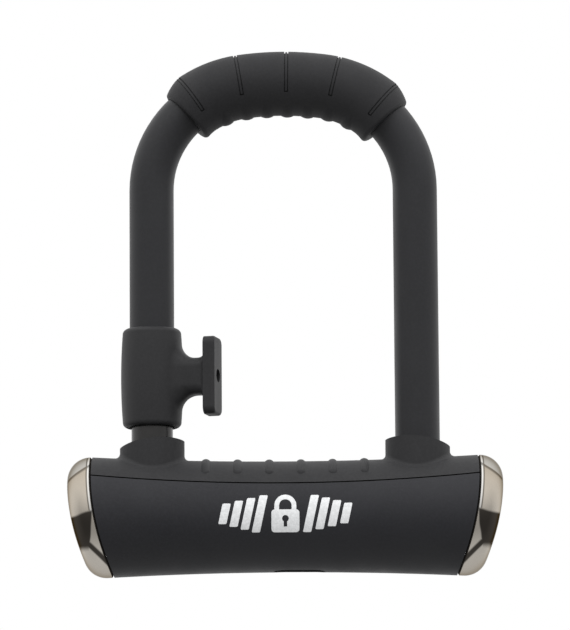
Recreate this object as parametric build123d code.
"""A compact bicycle U-lock with a rubber hand grip and a frame-bracket collar on its left leg.

Frame: +Z up along the shackle's legs, +X to the right along the crossbar, the front faces -Y. The origin is
the middle of the base that the crossbar stands on. Sizes are in millimetres. At rest the lock is closed and
unlocked: the shackle is pushed home, the bolts are drawn back and the shutter covers the keyway.
"""
from build123d import *
from math import asin, atan2, cos, degrees, pi, radians, sin, sqrt
import os

# ---- Driving dimensions -------------------------------------------------------------------------------
# Heights are measured from the crossbar's own axis; every node is lifted by the bar's half height at export.
LEG_X = 53.75               # half the distance between the legs' axes
BAR_R = 8.4                 # hardened shackle bar, 16.8 mm thick
COATING_R = 9.05            # over the vinyl coating
BEND_Z = 134.25             # where the legs start to bend
BEND_R = 43.2               # corner bends, on the bar's axis
TOP_R = 119.8               # flatter bend across the top, on the bar's axis
FOOT_Z = -11.5              # ends of the legs
COATING_END_LEFT_Z = 60.0   # the coating stops inside the collar
COATING_END_RIGHT_Z = 25.0  # the coating stops inside the right boss

GRIP_R = 13.15              # hand grip
GRIP_OFFSET = 0.4           # it is thicker on the outside of the bend
GRIP_HALF = 45.3            # half the grip's length along the bar
GRIP_SHIFT = 1.9            # the grip sits a little to the right of the middle
GRIP_TAPER = 6.8            # length of the shaped ends
GRIP_END_R = 12.0           # end rings, set towards the inside of the bend
GRIP_END_SHIFT = 1.35
GRIP_END_ROUND = 1.5
GROOVE_AT = (-39.0, -19.3, -0.4, 18.8, 39.3)    # along the grip from its middle
GROOVE_WIDTH = 1.7
GROOVE_DEPTH = 0.7 
GROOVE_STOP = 5.4           # how far past the bar's axis the grooves run, towards the inside of the bend
LAND_WIDTH = 0.8            # raised strip along the middle of each groove
LAND_DEPTH = 0.18
LAND_STOP = 0.5             # the strip stops this much before the groove's end
RIDGE_PITCH = 8.1           # finger ridges along the inside of the grip
RIDGE_INDEXES = range(-3, 4)
RIDGE_R = 5.0
RIDGE_RING_R = 6.4
RIDGE_SHIFT = 2.15

BAR_HALF_HEIGHT = 22.45     # crossbar covers at mid length
BAR_HALF_DEPTH = 21.5
FLARE_HEIGHT = 2.2          # growth of each half size at FLARE_X
FLARE_DEPTH = 1.5
FLARE_X = 79.0
SEAM_ARC = (78.0, 18.0, 104.0)    # cover ends: furthest x, height of that point, radius of the curve
END_ARC = (88.0, 16.5, 90.0)      # outer faces of the end caps, in the same form
END_ROUND = 9.4                   # rounding round the caps' outer faces
CAP_LIP = 0.8                     # bevel where a cap meets the covers
CAP_WALL = 3.2
CAP_RING = 2.4                    # ring that fits over the end plug
PARTING_Z = 11.35                 # joint line between upper and lower cover at mid length
PARTING_R = 810.0                 # the joint line rises towards the ends on this radius
PARTING_GAP = 0.5 

BOSS_R = 13.1               # leg bosses of the upper cover
BOSS_TOP_Z = 31.2           # height of the boss tops on the leg's axis
BOSS_SLOPE = 6.0            # degrees, lower on the outside
BOSS_CROWN_R = 50.0
BOSS_BORE_R = 9.6
BOSS_FILLET = 2.0
RIB_PITCH = 12.8            # grip ribs across the top of the upper cover
RIB_COUNT = 6
RIB_R = 2.2
RIB_RING_R = 19.5           # the ribs follow the cover on this radius
RIB_REACH = 43.0            # degrees each way from the top
RIB_PROUD = 0.8

TUBE_R = 18.5               # hardened crossbar tube
TUBE_CLEAR = 0.05
TUBE_BORE_R = 14.5
TUBE_HALF = 72.0
INNER_R = 14.4              # blocks that slide into the tube
LEG_HOLE_R = 8.7
SOCKET_BORE_R = 8.5
SOCKET_X = (42.0, 65.2)
SOCKET_FLOOR_Z = -12.0
CHASSIS_X = (0.1, 41.6)
PLUG_X = (65.6, 78.0)
PLUG_PIN_R = 1.5
PLUG_PIN_X = 69.0

BOLT_Z = (0.5, 6.0)         # the forked bolts' plates
BOLT_TRAVEL = 6.0
PRONG_Y = (6.2, 10.8)
PRONG_TIP_X = LEG_X - 6.0   # tips at rest, drawn back clear of the leg
FORK_ROOT_X = 38.8
YOKE_X = 30.0
BODY_HALF_Y = 8.0
TAIL_ROOT_X = 12.0
TAIL_GAP_Y = 0.25
PIN_OFFSET = BOLT_TRAVEL / 2
PIN_RING_R = PIN_OFFSET * sqrt(2)
PIN_R = 1.5
SLOT_HALF = 1.75
NOTCH_Z = (-0.3, 6.8)       # cut into the front and back of each leg
NOTCH_Y = 6.0

FACE_Z = -19.65             # mouth of the lock cylinder
HOUSING_R = 8.5
HOUSING_TOP_Z = -4.6
CORE_R = 6.2
CORE_FLANGE_R = 6.9
CORE_FLANGE_Z = -18.9
CORE_BORE_R = 5.25
CORE_BORE_END_Z = -5.15
CORE_TOP_Z = -2.7
CLIP_Z = (-4.5, -3.8)
CLIP_R = (5.3, 7.3)
DISC_R = 5.15
DISC_COUNT = 7
DISC_THICK = 1.3
SPACER_THICK = 0.55
KEY_SLOT = (6.6, 2.2)
GUARD_THICK = 1.2
SIDEBAR_R = 0.8
SIDEBAR_AT = 5.3
DISC_START_Z = -18.15
DISC_GAP = 0.02
CAM_SQUARE = 4.6
CAM_SOCKET = 1.0
SCREW3_R = 1.45
SCREW3_HEAD_R = 2.2
SCREW3_HEAD = 1.0
SCREW3_Z = (-5.0, 0.0)
SEAL_Z = (18.6, 22.6)
SEAL_BORE_R = 8.48
CAM_R = 7.6
CAM_Z = (-2.6, 0.1)
HOUSING_PIN_R = 1.5
HOUSING_PIN_Z = -9.0

WINDOW_HALF_Y = 4.2         # keyway window in the underside
SHUTTER_TRAVEL = 12.0
SHUTTER_X = (-6.2, 18.0)
SHUTTER_HALF_Y = 5.5
SHUTTER_Z = (-20.95, -19.8)
SHUTTER_GRIP_X = -3.6
WINDOW_X = (-4.8, 16.2)
TRACK_CLEAR = 0.1
DISH_R = 15.6               # ball that forms the finger dish over the keyway
DISH_DEPTH = 1.0

COLLAR_Z = 56.8             # middle of the frame-bracket collar
COLLAR_HALF = 20.2
COLLAR_MID_R = 12.6
COLLAR_END_R = 11.75
COLLAR_BORE_R = 10.4
COLLAR_LIP_R = 9.45
COLLAR_LIP = 2.2
COLLAR_ROUND = 2.2
COLLAR_TURN = -15.0         # degrees about the leg at rest
NECK_HALF_Z = 7.5
NECK_HALF_Y = 5.8
NECK_ROUND = 4.0
NECK_BLEND = 7.0            # where the neck runs into the barrel
LUG_BLEND = 3.0             # where the neck runs into the lug
LUG_X = (23.1, 27.9)        # T-shaped lug, from the leg's axis
LUG_HALF_Y = 6.3
LUG_HALF_Z = 15.9
LUG_ROUND = 3.0             # corners of the lug, seen along its axis
LUG_EDGE = 1.1              # round the outer face
LINER_BORE_R = 9.12
LINER_R = 10.35
LINER_SLIT = 2.0
SCREW_R = 2.5               # M5 grub screw along the lug's axis
SCREW_HOLE_R = 2.65
SCREW_X = (12.2, 26.6)
SCREW_HEX = 2.5
NUT_X = (16.2, 19.8)        # nut moulded into the neck
NUT_FLATS = 8.0
SHOE_R = 3.3                # pad between the screw and the liner

# ---- Construction helpers -----------------------------------------------------------------------------
SPAN = 400.0                # longer than the whole lock, for cutting blocks


def rod(radius, start, end):
    """A round rod between two points."""
    start, end = Vector(start), Vector(end)
    way = end - start
    plane = Plane(origin=start, z_dir=way)
    return extrude(plane * Circle(radius), way.length)


def block(low, high):
    """A box between two corners."""
    size = [b - a for a, b in zip(low, high)]
    middle = [(a + b) / 2 for a, b in zip(low, high)]
    return Pos(*middle) * Box(*size)


def front_prism(face):
    """A face drawn in the XZ plane, pushed through the whole depth of the lock."""
    return extrude(face, SPAN / 2, both=True)


def mirrored(shape):
    """The same shape on the other side of the YZ plane."""
    return mirror(shape, Plane.YZ)


# ---- Shackle ------------------------------------------------------------------------------------------
CORNER_X = LEG_X - BEND_R
TOP_CENTRE_Z = BEND_Z - sqrt((TOP_R - BEND_R) ** 2 - CORNER_X ** 2)
TOP_ANGLE = asin(CORNER_X / (TOP_R - BEND_R))
TOP_HALF_LENGTH = TOP_R * TOP_ANGLE


def bend_point(s):
    """Point on the bar's axis at arc length s from the top middle, and the outward direction there."""
    side = 1 if s >= 0 else -1
    length = abs(s)
    corner_length = BEND_R * (pi / 2 - TOP_ANGLE)
    if length <= TOP_HALF_LENGTH:
        angle = length / TOP_R
        x, z = TOP_R * sin(angle), TOP_CENTRE_Z + TOP_R * cos(angle)
    elif length <= TOP_HALF_LENGTH + corner_length:
        angle = TOP_ANGLE + (length - TOP_HALF_LENGTH) / BEND_R
        x, z = CORNER_X + BEND_R * sin(angle), BEND_Z + BEND_R * cos(angle)
    else:
        angle = pi / 2
        x, z = LEG_X, BEND_Z - (length - TOP_HALF_LENGTH - corner_length)
    return Vector(side * x, 0, z), Vector(side * sin(angle), 0, cos(angle))


def bend_plane(s):
    """Section plane across the bar at s, with its x axis pointing out of the bend."""
    point, outward = bend_point(s)
    along = outward.cross(Vector(0, 1, 0))
    return Plane(origin=point, x_dir=outward, z_dir=along)


def bar_path(left_z, right_z):
    """The bar's axis from a height on the left leg, over the top, to a height on the right leg."""
    left_bend = Vector(-LEG_X, 0, BEND_Z)
    right_bend = Vector(LEG_X, 0, BEND_Z)
    left_top = bend_point(-TOP_HALF_LENGTH)[0]
    right_top = bend_point(TOP_HALF_LENGTH)[0]
    top = Vector(0, 0, TOP_CENTRE_Z + TOP_R)
    middle = TOP_ANGLE / 2 + pi / 4
    corner = Vector(CORNER_X + BEND_R * sin(middle), 0, BEND_Z + BEND_R * cos(middle))
    left_corner = Vector(-corner.X, 0, corner.Z)
    return Wire([
        Edge.make_line(Vector(-LEG_X, 0, left_z), left_bend),
        Edge.make_three_point_arc(left_bend, left_corner, left_top),
        Edge.make_three_point_arc(left_top, top, right_top),
        Edge.make_three_point_arc(right_top, corner, right_bend),
        Edge.make_line(right_bend, Vector(LEG_X, 0, right_z)),
    ])


def bent_rod(radius, left_z, right_z):
    """A round rod along the bar's axis."""
    section = Plane(origin=(-LEG_X, 0, left_z), z_dir=(0, 0, 1)) * Circle(radius)
    return sweep(section, bar_path(left_z, right_z))


def shackle_bar():
    bar = bent_rod(BAR_R, FOOT_Z, FOOT_Z)
    feet = bar.edges().filter_by(GeomType.CIRCLE).sort_by(Axis.Z)[:2]
    bar = chamfer(feet, 1.2)
    for x in (-LEG_X, LEG_X):
        for front, back in ((-BAR_R - 1, -NOTCH_Y), (NOTCH_Y, BAR_R + 1)):
            bar -= block((x - BAR_R - 1, front, NOTCH_Z[0]), (x + BAR_R + 1, back, NOTCH_Z[1]))
    return bar


def shackle_coating():
    outer = bent_rod(COATING_R, COATING_END_LEFT_Z, COATING_END_RIGHT_Z)
    inner = bent_rod(BAR_R, COATING_END_LEFT_Z - 5, COATING_END_RIGHT_Z - 5)
    return outer - inner


def grip_blank(radius, half_length):
    """A round sleeve along the bend between two section planes."""
    inner_end, outer_end = GRIP_SHIFT - half_length, GRIP_SHIFT + half_length
    corners = (inner_end, -TOP_HALF_LENGTH, TOP_HALF_LENGTH, outer_end)
    centres = ((-CORNER_X, BEND_Z), (0, TOP_CENTRE_Z), (CORNER_X, BEND_Z))
    blank = None
    for start, end, (x, z) in zip(corners, corners[1:], centres):
        turn = degrees((end - start) / (TOP_R if x == 0 else BEND_R))
        axis = Axis((x, 0, z), (0, 1, 0))
        piece = revolve(bend_plane(start) * Pos(GRIP_OFFSET) * Circle(radius), axis, turn)
        blank = piece if blank is None else blank + piece
    return blank


def grip_band(s, width, low_r, high_r, stop):
    """A band round the outside of the bend at s, between two radii."""
    ring = Pos(GRIP_OFFSET) * (Circle(high_r) - Circle(low_r))
    kept = Pos(SPAN / 2 - stop, 0) * Rectangle(SPAN, SPAN)
    return extrude(bend_plane(s) * (ring & kept), width / 2, both=True)


def grip_groove(s):
    """Cutter for one cross groove on the outside of the grip, with a low strip left along its middle."""
    floor, land = GRIP_R - GROOVE_DEPTH, GRIP_R - LAND_DEPTH
    groove = grip_band(s, GROOVE_WIDTH, floor, GRIP_R + 3, GROOVE_STOP)
    return groove - grip_band(s, LAND_WIDTH, floor - 1, land, GROOVE_STOP - LAND_STOP)


def ridge_position(t):
    """Arc length on the bar's axis for a length t along the inside of the grip."""
    side = 1 if t >= 0 else -1
    top = (TOP_R - GRIP_R) * TOP_ANGLE
    if abs(t) <= top:
        return t * TOP_R / (TOP_R - GRIP_R)
    return side * (TOP_HALF_LENGTH + (abs(t) - top) * BEND_R / (BEND_R - GRIP_R))


def grip_ridge(s):
    """A finger ridge: a ring set towards the inside of the bend, so that only its inner side stands out."""
    point, outward = bend_point(s)
    along = outward.cross(Vector(0, 1, 0))
    return Plane(origin=point - outward * RIDGE_SHIFT, z_dir=along) * Torus(RIDGE_RING_R, RIDGE_R)


def grip_end(side):
    """A shaped end: it falls away on the outside of the bend and swells on the inside."""
    start = bend_plane(GRIP_SHIFT + side * (GRIP_HALF - GRIP_TAPER))
    finish = bend_plane(GRIP_SHIFT + side * GRIP_HALF)
    middle = bend_plane(GRIP_SHIFT + side * (GRIP_HALF - GRIP_TAPER / 2))
    sections = [
        start * Pos(GRIP_OFFSET) * Circle(GRIP_R),
        middle * Pos(GRIP_OFFSET - (GRIP_OFFSET + GRIP_END_SHIFT) * 0.4) * Circle(GRIP_R * 0.6 + GRIP_END_R * 0.4),
        finish * Pos(-GRIP_END_SHIFT) * Circle(GRIP_END_R),
    ]
    return loft(sections)


def shackle_grip():
    grip = grip_blank(GRIP_R, GRIP_HALF - GRIP_TAPER) + grip_end(-1) + grip_end(1)
    rims = grip.faces().filter_by(GeomType.PLANE).edges()
    grip = fillet(rims, GRIP_END_ROUND)
    for s in GROOVE_AT:
        grip -= grip_groove(GRIP_SHIFT + s)
    for i in RIDGE_INDEXES:
        grip += grip_ridge(ridge_position(GRIP_SHIFT + i * RIDGE_PITCH))
    return grip - bent_rod(COATING_R, 100, 100)


# ---- Crossbar covers ----------------------------------------------------------------------------------
def flare(x):
    return (x / FLARE_X) ** 2


def bar_section(x):
    """Oval section of the covers at x."""
    plane = Plane(origin=(x, 0, 0), x_dir=(0, 1, 0), z_dir=(1, 0, 0))
    half_depth = BAR_HALF_DEPTH + FLARE_DEPTH * flare(x)
    half_height = BAR_HALF_HEIGHT + FLARE_HEIGHT * flare(x)
    return plane * Ellipse(half_depth, half_height)


def bar_body():
    stations = (-96, -64, -32, 0, 32, 64, 96)
    return loft([bar_section(x) for x in stations])


def end_prism(arc, x_from=-SPAN):
    """Everything on the inner side of a right-hand end curve, as a block through the lock's depth."""
    furthest_x, z_at, radius = arc
    disc = Pos(furthest_x - radius, z_at) * Circle(radius)
    reach = Pos((x_from + furthest_x - radius) / 2, z_at) * Rectangle(furthest_x - radius - x_from, 2 * radius)
    return front_prism(Plane.XZ * (disc + reach))


def between_ends(shape, arc):
    """The part of a shape between the left and right end curves."""
    side = end_prism(arc)
    return shape & side & mirrored(side)


def parting_block():
    """Everything under the joint line between the covers."""
    disc = Pos(0, PARTING_Z + PARTING_R) * Circle(PARTING_R)
    slab = Pos(0, -SPAN / 2 + 60) * Rectangle(SPAN, SPAN)
    return front_prism(Plane.XZ * (slab - disc))


def boss_blank(x):
    """One leg boss, with its sloping, slightly crowned top."""
    side = 1 if x > 0 else -1
    boss = rod(BOSS_R, (x, 0, 0), (x, 0, BOSS_TOP_Z + 12))
    centre_x = x - side * BOSS_CROWN_R * sin(radians(BOSS_SLOPE))
    centre_z = BOSS_TOP_Z - BOSS_CROWN_R * cos(radians(BOSS_SLOPE))
    crown = front_prism(Plane.XZ * (Pos(centre_x, centre_z) * Circle(BOSS_CROWN_R)))
    return boss & crown


def rib(x):
    """A round-ended grip rib bent over the top of the bar."""
    top = BAR_HALF_HEIGHT + FLARE_HEIGHT * flare(x) + RIB_PROUD
    centre_z = top - RIB_R - RIB_RING_R
    ends = []
    for side in (-1, 1):
        angle = side * radians(RIB_REACH)
        ends.append(Pos(x, RIB_RING_R * sin(angle), centre_z + RIB_RING_R * cos(angle)))
    start = ends[0] * Rot(90 + RIB_REACH, 0, 0) * Circle(RIB_R)
    arc = revolve(start, Axis((x, 0, centre_z), (-1, 0, 0)), 2 * RIB_REACH)
    return arc + ends[0] * Sphere(RIB_R) + ends[1] * Sphere(RIB_R)


def tube_space():
    return rod(TUBE_R + TUBE_CLEAR, (-TUBE_HALF - 30, 0, 0), (TUBE_HALF + 30, 0, 0))


def upper_cover(body):
    cover = body
    for x in (-LEG_X, LEG_X):
        cover += boss_blank(x)
    joint = cover.edges().filter_by(
        lambda e: abs(abs(e.center().X) - LEG_X) < 6 and 15 < e.center().Z < 25)
    cover = fillet(joint, BOSS_FILLET)
    for i in range(RIB_COUNT):
        cover += rib((i - (RIB_COUNT - 1) / 2) * RIB_PITCH)
    cover -= Pos(0, 0, PARTING_GAP) * parting_block()
    cover -= tube_space()
    for x in (-LEG_X, LEG_X):
        cover -= rod(BOSS_BORE_R, (x, 0, 0), (x, 0, BOSS_TOP_Z + 12))
    return cover


def shutter_space():
    """Track, window and finger dish for the shutter in the underside."""
    low = (SHUTTER_X[0] - TRACK_CLEAR, -SHUTTER_HALF_Y - TRACK_CLEAR, SHUTTER_Z[0] - TRACK_CLEAR)
    high = (SHUTTER_X[1] + SHUTTER_TRAVEL + 0.2, SHUTTER_HALF_Y + TRACK_CLEAR, SHUTTER_Z[1] + TRACK_CLEAR)
    space = block(low, high)
    centre = (WINDOW_X[0] + WINDOW_X[1]) / 2
    window = Pos(centre, 0) * SlotOverall(WINDOW_X[1] - WINDOW_X[0], 2 * WINDOW_HALF_Y)
    space += Pos(0, 0, SHUTTER_Z[0]) * extrude(window, 20, dir=(0, 0, -1))
    space += rod(HOUSING_R + 0.1, (0, 0, SHUTTER_Z[1]), (0, 0, 0))
    dish_z = -BAR_HALF_HEIGHT - DISH_R + DISH_DEPTH
    space += Pos(0, 0, dish_z) * Sphere(DISH_R)
    return space


def lower_cover(body):
    return (body & parting_block()) - tube_space() - shutter_space()


def keyway_shutter():
    plate = block((SHUTTER_X[0], -SHUTTER_HALF_Y, SHUTTER_Z[0]), (SHUTTER_X[1], SHUTTER_HALF_Y, SHUTTER_Z[1]))
    plate = fillet(plate.edges().filter_by(Axis.Z), 1.0)
    for i in range(3):
        x = SHUTTER_GRIP_X + 1.5 * i
        bar = rod(0.45, (x, -2.6, SHUTTER_Z[0]), (x, 2.6, SHUTTER_Z[0]))
        plate += bar
    return plate


def end_cap(body):
    """Right-hand end cap: a hollow casting with a ring inside that fits over the end plug."""
    furthest_x, z_at, radius = SEAM_ARC
    inner = end_prism((furthest_x + 0.1, z_at, radius))
    cap = body & end_prism(END_ARC)
    rim = cap.faces().sort_by(Axis.X)[-1].edges()
    cap = fillet(rim, END_ROUND) - inner
    lip = cap.faces().sort_by(Axis.X)[0].edges()
    cap = chamfer(lip, CAP_LIP)
    end_x, end_z, end_radius = END_ARC
    half_depth = BAR_HALF_DEPTH + FLARE_DEPTH - CAP_WALL
    half_height = BAR_HALF_HEIGHT + FLARE_HEIGHT - CAP_WALL
    oval = Plane(origin=(60, 0, 0), x_dir=(0, 1, 0), z_dir=(1, 0, 0)) * Ellipse(half_depth, half_height)
    hollow = extrude(oval, 40) & end_prism((end_x - CAP_WALL, end_z, end_radius))
    hollow -= rod(INNER_R + CAP_RING, (PLUG_X[1] - 4, 0, 0), (90, 0, 0))
    return cap - hollow - rod(INNER_R + 0.1, (60, 0, 0), (PLUG_X[1] + 0.1, 0, 0))


# ---- Steel parts of the crossbar ----------------------------------------------------------------------
def crossbar_tube():
    tube = rod(TUBE_R, (-TUBE_HALF, 0, 0), (TUBE_HALF, 0, 0))
    tube -= rod(TUBE_BORE_R, (-TUBE_HALF, 0, 0), (TUBE_HALF, 0, 0))
    tube -= rod(HOUSING_R + 0.05, (0, 0, -SPAN / 8), (0, 0, 0))
    tube -= rod(HOUSING_PIN_R + 0.05, (HOUSING_R, -SPAN / 8, HOUSING_PIN_Z), (HOUSING_R, SPAN / 8, HOUSING_PIN_Z))
    for side in (-1, 1):
        tube -= rod(LEG_HOLE_R, (side * LEG_X, 0, 0), (side * LEG_X, 0, SPAN / 8))
        tube -= rod(PLUG_PIN_R + 0.05, (side * PLUG_PIN_X, -SPAN / 8, 0), (side * PLUG_PIN_X, SPAN / 8, 0))
    return tube


def end_plug():
    plug = rod(INNER_R, (PLUG_X[0], 0, 0), (PLUG_X[1], 0, 0))
    plug = chamfer(plug.edges().filter_by(GeomType.CIRCLE), 0.6)
    return plug - rod(PLUG_PIN_R + 0.05, (PLUG_PIN_X, -20, 0), (PLUG_PIN_X, 20, 0))


def end_plug_pins():
    pin = rod(PLUG_PIN_R, (PLUG_PIN_X, -17.6, 0), (PLUG_PIN_X, 17.6, 0))
    pin = chamfer(pin.edges().filter_by(GeomType.CIRCLE), 0.3)
    return Compound([pin, mirrored(pin)])


def bolt_channel(x_start, x_end, y_low, y_high):
    return block((x_start, y_low, BOLT_Z[0] - 0.1), (x_end, y_high, BOLT_Z[1] + 0.1))


def leg_socket():
    socket = rod(INNER_R, (SOCKET_X[0], 0, 0), (SOCKET_X[1], 0, 0))
    socket -= rod(SOCKET_BORE_R, (LEG_X, 0, SOCKET_FLOOR_Z), (LEG_X, 0, 20))
    near, far = PRONG_Y[0] - 0.1, PRONG_Y[1] + 0.1
    for low, high in ((-far, -near), (near, far)):
        socket -= bolt_channel(SOCKET_X[0] - 1, PRONG_TIP_X + BOLT_TRAVEL + 0.3, low, high)
    return socket - bolt_channel(SOCKET_X[0] - 1, LEG_X, -near - 0.1, near + 0.1)


def bolt_guide(with_pin):
    """One half of the block that carries the bolts and the cylinder, on the right-hand side."""
    guide = rod(INNER_R, (CHASSIS_X[0], 0, 0), (CHASSIS_X[1], 0, 0))
    guide -= rod(HOUSING_R + 0.1, (0, 0, -20), (0, 0, HOUSING_TOP_Z + 0.1))
    guide -= rod(CAM_R + 0.2, (0, 0, HOUSING_TOP_Z), (0, 0, BOLT_Z[0]))
    half = BODY_HALF_Y + 0.1
    guide -= bolt_channel(CHASSIS_X[0] - 1, YOKE_X, -half, half)
    wide = PRONG_Y[1] + 0.1
    guide -= bolt_channel(YOKE_X - 0.2, CHASSIS_X[1] + 1, -wide, wide)
    if with_pin:
        guide -= rod(HOUSING_PIN_R + 0.05, (HOUSING_R, -20, HOUSING_PIN_Z), (HOUSING_R, 20, HOUSING_PIN_Z))
    return guide


def leg_seals():
    low, high = SEAL_Z
    ring = rod(BOSS_BORE_R - 0.05, (LEG_X, 0, low), (LEG_X, 0, high)) - rod(SEAL_BORE_R, (LEG_X, 0, 0), (LEG_X, 0, 40))
    ring -= tube_space()
    return Compound([ring, mirrored(ring)])


# ---- Lock cylinder ------------------------------------------------------------------------------------
def sidebar_rod(radius, y, low, high):
    return rod(radius, (0, y, low), (0, y, high))


def cylinder_housing():
    housing = rod(HOUSING_R, (0, 0, FACE_Z), (0, 0, HOUSING_TOP_Z))
    housing = chamfer(housing.edges().filter_by(GeomType.CIRCLE).sort_by(Axis.Z)[0], 0.4)
    housing -= rod(CORE_R + 0.05, (0, 0, FACE_Z - 1), (0, 0, HOUSING_TOP_Z + 1))
    housing -= rod(CORE_FLANGE_R + 0.08, (0, 0, FACE_Z - 1), (0, 0, CORE_FLANGE_Z + 0.05))
    housing -= rod(HOUSING_PIN_R + 0.05, (HOUSING_R, -20, HOUSING_PIN_Z), (HOUSING_R, 20, HOUSING_PIN_Z))
    return housing - sidebar_rod(SIDEBAR_R + 0.05, CORE_R, DISC_START_Z - 0.1, CORE_BORE_END_Z)


def cylinder_pin():
    pin = rod(HOUSING_PIN_R, (HOUSING_R, -14.9, HOUSING_PIN_Z), (HOUSING_R, 14.9, HOUSING_PIN_Z))
    return chamfer(pin.edges().filter_by(GeomType.CIRCLE), 0.3)


def cylinder_core():
    front = FACE_Z + 0.1
    core = rod(CORE_R, (0, 0, front), (0, 0, CORE_TOP_Z))
    core += rod(CORE_FLANGE_R, (0, 0, front), (0, 0, CORE_FLANGE_Z))
    core -= rod(CORE_BORE_R, (0, 0, front - 1), (0, 0, CORE_BORE_END_Z))
    core -= sidebar_rod(SIDEBAR_R + 0.05, SIDEBAR_AT, DISC_START_Z - 0.1, CORE_BORE_END_Z)
    groove = rod(CORE_R + 1, (0, 0, CLIP_Z[0] - 0.02), (0, 0, CLIP_Z[1] + 0.02))
    groove -= rod(CLIP_R[0] - 0.05, (0, 0, CLIP_Z[0] - 1), (0, 0, CLIP_Z[1] + 1))
    core -= groove
    half = CAM_SQUARE / 2
    core += block((-half, -half, CORE_TOP_Z - 0.5), (half, half, CAM_Z[0] + CAM_SOCKET - 0.05))
    return core - rod(SCREW3_R + 0.05, (0, 0, SCREW3_Z[0] - 0.05), (0, 0, 2))


def key_slot(radius_extra=0.0):
    return Rectangle(KEY_SLOT[0] + radius_extra, KEY_SLOT[1] + radius_extra)


def drill_guard():
    low = FACE_Z + 0.2
    guard = rod(CORE_BORE_R - 0.05, (0, 0, low), (0, 0, low + GUARD_THICK))
    return guard - Pos(0, 0, low) * extrude(key_slot(0.3), 5, both=True)


def disc_stack():
    """The detainer discs and the spacers between them."""
    discs, spacers = [], []
    notch = sidebar_rod(SIDEBAR_R + 0.05, SIDEBAR_AT, FACE_Z, 0)
    z = DISC_START_Z
    for i in range(DISC_COUNT):
        disc = rod(DISC_R, (0, 0, z), (0, 0, z + DISC_THICK)) - notch
        disc -= Pos(0, 0, z) * extrude(key_slot(), 5, both=True)
        discs.append(disc)
        z += DISC_THICK + DISC_GAP
        if i < DISC_COUNT - 1:
            spacer = rod(DISC_R, (0, 0, z), (0, 0, z + SPACER_THICK)) - notch
            spacer -= rod(KEY_SLOT[0] / 2 + 0.3, (0, 0, z - 1), (0, 0, z + 2))
            spacers.append(spacer)
            z += SPACER_THICK + DISC_GAP
    return Compound(discs), Compound(spacers)


def core_clip():
    ring = rod(CLIP_R[1], (0, 0, CLIP_Z[0]), (0, 0, CLIP_Z[1]))
    ring -= rod(CLIP_R[0], (0, 0, CLIP_Z[0] - 1), (0, 0, CLIP_Z[1] + 1))
    return ring - block((-1.6, 0, CLIP_Z[0] - 1), (1.6, 12, CLIP_Z[1] + 1))


def drive_cam():
    cam = rod(CAM_R, (0, 0, CAM_Z[0]), (0, 0, CAM_Z[1]))
    for side in (-1, 1):
        x = y = side * PIN_OFFSET
        cam += rod(PIN_R, (x, y, CAM_Z[0]), (x, y, BOLT_Z[1] - 0.2))
    half = CAM_SQUARE / 2 + 0.05
    cam -= block((-half, -half, CAM_Z[0] - 1), (half, half, CAM_Z[0] + CAM_SOCKET))
    cam -= rod(SCREW3_R + 0.1, (0, 0, CAM_Z[0]), (0, 0, CAM_Z[1] + 1))
    return cam - rod(SCREW3_HEAD_R + 0.1, (0, 0, SCREW3_Z[1] - SCREW3_HEAD), (0, 0, CAM_Z[1] + 1))


def cam_screw():
    low, high = SCREW3_Z
    screw = rod(SCREW3_R, (0, 0, low), (0, 0, high))
    screw += rod(SCREW3_HEAD_R, (0, 0, high - SCREW3_HEAD), (0, 0, high))
    return screw - block((-4, -0.3, high - 0.45), (4, 0.3, high + 1))


# ---- Bolts --------------------------------------------------------------------------------------------
def bolt():
    """Right-hand forked bolt at rest, drawn back."""
    far, near = PRONG_Y[1], PRONG_Y[0]
    low, high = BOLT_Z
    tail_x = -PIN_OFFSET - SLOT_HALF - 2.2
    shape = block((YOKE_X, -far, low), (PRONG_TIP_X, far, high))
    shape -= block((FORK_ROOT_X, -near, low - 1), (PRONG_TIP_X + 1, near, high + 1))
    tips = shape.edges().filter_by(Axis.Z).filter_by(lambda e: e.center().X > PRONG_TIP_X - 0.1)
    shape = chamfer(tips, 0.8)
    shape += block((TAIL_ROOT_X, -BODY_HALF_Y, low), (YOKE_X, BODY_HALF_Y, high))
    shape += block((tail_x, -BODY_HALF_Y, low), (TAIL_ROOT_X, -TAIL_GAP_Y, high))
    outer = -PIN_RING_R - PIN_R - 0.2
    slot = block((-PIN_OFFSET - SLOT_HALF, outer, low - 1), (-PIN_OFFSET + SLOT_HALF, PIN_R - PIN_OFFSET + 0.2, high + 1))
    return shape - slot


# ---- Frame-bracket collar -----------------------------------------------------------------------------
def at_collar(shape):
    """Place a collar part, drawn about the Z axis with its lug towards +X, on the left leg."""
    return Pos(-LEG_X, 0, COLLAR_Z) * Rot(0, 0, COLLAR_TURN) * shape


def collar_barrel():
    half, mid, end = COLLAR_HALF, COLLAR_MID_R, COLLAR_END_R
    side = Edge.make_three_point_arc(Vector(end, 0, -half), Vector(mid, 0, 0), Vector(end, 0, half))
    rest = Wire.make_polygon([(end, 0, half), (0, 0, half), (0, 0, -half), (end, 0, -half)], close=False)
    profile = make_face(Wire([side] + list(rest.edges())))
    barrel = revolve(profile, Axis.Z, 360)
    return fillet(barrel.edges().filter_by(GeomType.CIRCLE), COLLAR_ROUND)


def neck_section(x, spread=0.0):
    plane = Plane(origin=(x, 0, 0), x_dir=(0, 1, 0), z_dir=(1, 0, 0))
    half_y = NECK_HALF_Y + spread * (LUG_HALF_Y - LUG_EDGE - NECK_HALF_Y) / LUG_BLEND
    return plane * RectangleRounded(2 * half_y, 2 * (NECK_HALF_Z + spread), NECK_ROUND - 0.1 * spread)


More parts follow.
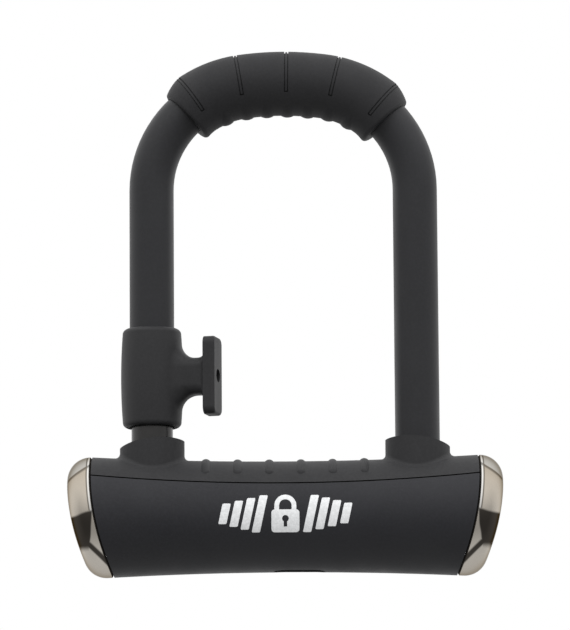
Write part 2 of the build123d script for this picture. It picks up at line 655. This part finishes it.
def neck_end():
    """The short flare where the neck meets the lug."""
    start = LUG_X[0] - LUG_BLEND
    sections = []
    for i in range(6):
        reach = LUG_BLEND * i / 5.4
        sections.append(neck_section(start + reach, LUG_BLEND - sqrt(LUG_BLEND ** 2 - reach ** 2)))
    sections.append(neck_section(LUG_X[0] + 0.2, LUG_BLEND * 0.85))
    return loft(sections)


def bracket_lug():
    """T-shaped lug: crisp towards the barrel, with rounded corners and a softened outer face."""
    lug = block((LUG_X[0], -LUG_HALF_Y, -LUG_HALF_Z), (LUG_X[1], LUG_HALF_Y, LUG_HALF_Z))
    lug = fillet(lug.edges().filter_by(Axis.X), LUG_ROUND)
    outer = lug.faces().sort_by(Axis.X)[-1].edges()
    return fillet(outer, LUG_EDGE)


def collar_body():
    neck = extrude(neck_section(6.0), LUG_X[0] - LUG_BLEND - 6.0)
    body = collar_barrel() + neck
    junction = body.edges().filter_by(GeomType.BSPLINE).filter_by(lambda e: e.center().X > NECK_HALF_Z)
    body = fillet(junction, NECK_BLEND)
    body += neck_end() + bracket_lug()
    half = COLLAR_HALF
    body -= rod(COLLAR_BORE_R, (0, 0, -half - 1), (0, 0, half - COLLAR_LIP))
    body -= rod(COLLAR_LIP_R, (0, 0, 0), (0, 0, half + 1))
    body -= rod(SCREW_HOLE_R, (0, 0, 0), (40, 0, 0))
    body -= rod(SHOE_R + 0.05, (0, 0, 0), (SCREW_X[0] + 0.05, 0, 0))
    return at_collar(body - nut_prism(NUT_FLATS + 0.06, NUT_X[0] - 0.03, NUT_X[1] + 0.03))


def nut_prism(flats, x_start, x_end):
    plane = Plane(origin=(x_start, 0, 0), x_dir=(0, 1, 0), z_dir=(1, 0, 0))
    return extrude(plane * RegularPolygon(flats / 2, 6, major_radius=False), x_end - x_start)


def clamp_nut():
    nut = nut_prism(NUT_FLATS, *NUT_X)
    return at_collar(nut - rod(SCREW_R + 0.02, (0, 0, 0), (40, 0, 0)))


def clamp_screw():
    screw = rod(SCREW_R, (SCREW_X[0], 0, 0), (SCREW_X[1], 0, 0))
    screw = chamfer(screw.edges().filter_by(GeomType.CIRCLE), 0.4)
    return at_collar(screw - nut_prism(SCREW_HEX, SCREW_X[1] - 3, SCREW_X[1] + 1))


def clamp_shoe():
    shoe = rod(SHOE_R, (6, 0, 0), (SCREW_X[0], 0, 0))
    return at_collar(shoe - rod(LINER_R + 0.03, (0, 0, -20), (0, 0, 20)))


def collar_liner():
    low, high = -COLLAR_HALF + 0.3, COLLAR_HALF - COLLAR_LIP - 0.1
    ring = rod(LINER_R, (0, 0, low), (0, 0, high)) - rod(LINER_BORE_R, (0, 0, low - 1), (0, 0, high + 1))
    return at_collar(ring - block((-20, -LINER_SLIT / 2, low - 1), (0, LINER_SLIT / 2, high + 1)))


# ---- Build and export ---------------------------------------------------------------------------------
def build_nodes():
    body = bar_body()
    covers = between_ends(body, SEAM_ARC)
    discs, spacers = disc_stack()
    cap, plug, socket, right_bolt = end_cap(body), end_plug(), leg_socket(), bolt()
    return {
        "crossbar_tube": crossbar_tube(),
        "upper_cover": upper_cover(covers),
        "lower_cover": lower_cover(covers),
        "end_cap_left": mirrored(cap),
        "end_cap_right": cap,
        "end_plug_left": mirrored(plug),
        "end_plug_right": plug,
        "end_plug_pins": end_plug_pins(),
        "leg_socket_left": mirrored(socket),
        "leg_socket_right": socket,
        "leg_seals": leg_seals(),
        "bolt_guide_left": mirrored(bolt_guide(False)),
        "bolt_guide_right": bolt_guide(True),
        "cylinder_housing": cylinder_housing(),
        "cylinder_pin": cylinder_pin(),
        "cylinder_core": cylinder_core(),
        "drill_guard": drill_guard(),
        "detainer_discs": discs,
        "disc_spacers": spacers,
        "sidebar": sidebar_rod(SIDEBAR_R, SIDEBAR_AT, DISC_START_Z, CORE_BORE_END_Z - 0.1),
        "core_clip": core_clip(),
        "drive_cam": drive_cam(),
        "cam_screw": cam_screw(),
        "bolt_left": Rot(0, 0, 180) * right_bolt,
        "bolt_right": right_bolt,
        "keyway_shutter": keyway_shutter(),
        "shackle_bar": shackle_bar(),
        "shackle_coating": shackle_coating(),
        "shackle_grip": shackle_grip(),
        "collar_body": collar_body(),
        "collar_liner": collar_liner(),
        "clamp_shoe": clamp_shoe(),
        "clamp_screw": clamp_screw(),
        "clamp_nut": clamp_nut(),
    }


nodes = build_nodes()
lift = -min(shape.bounding_box().min.Z for shape in nodes.values())
os.makedirs("parts", exist_ok=True)
for name, shape in nodes.items():
    export_step(Pos(0, 0, lift) * shape, f"parts/{name}.step")
print(f"lift {lift:.4f} mm")
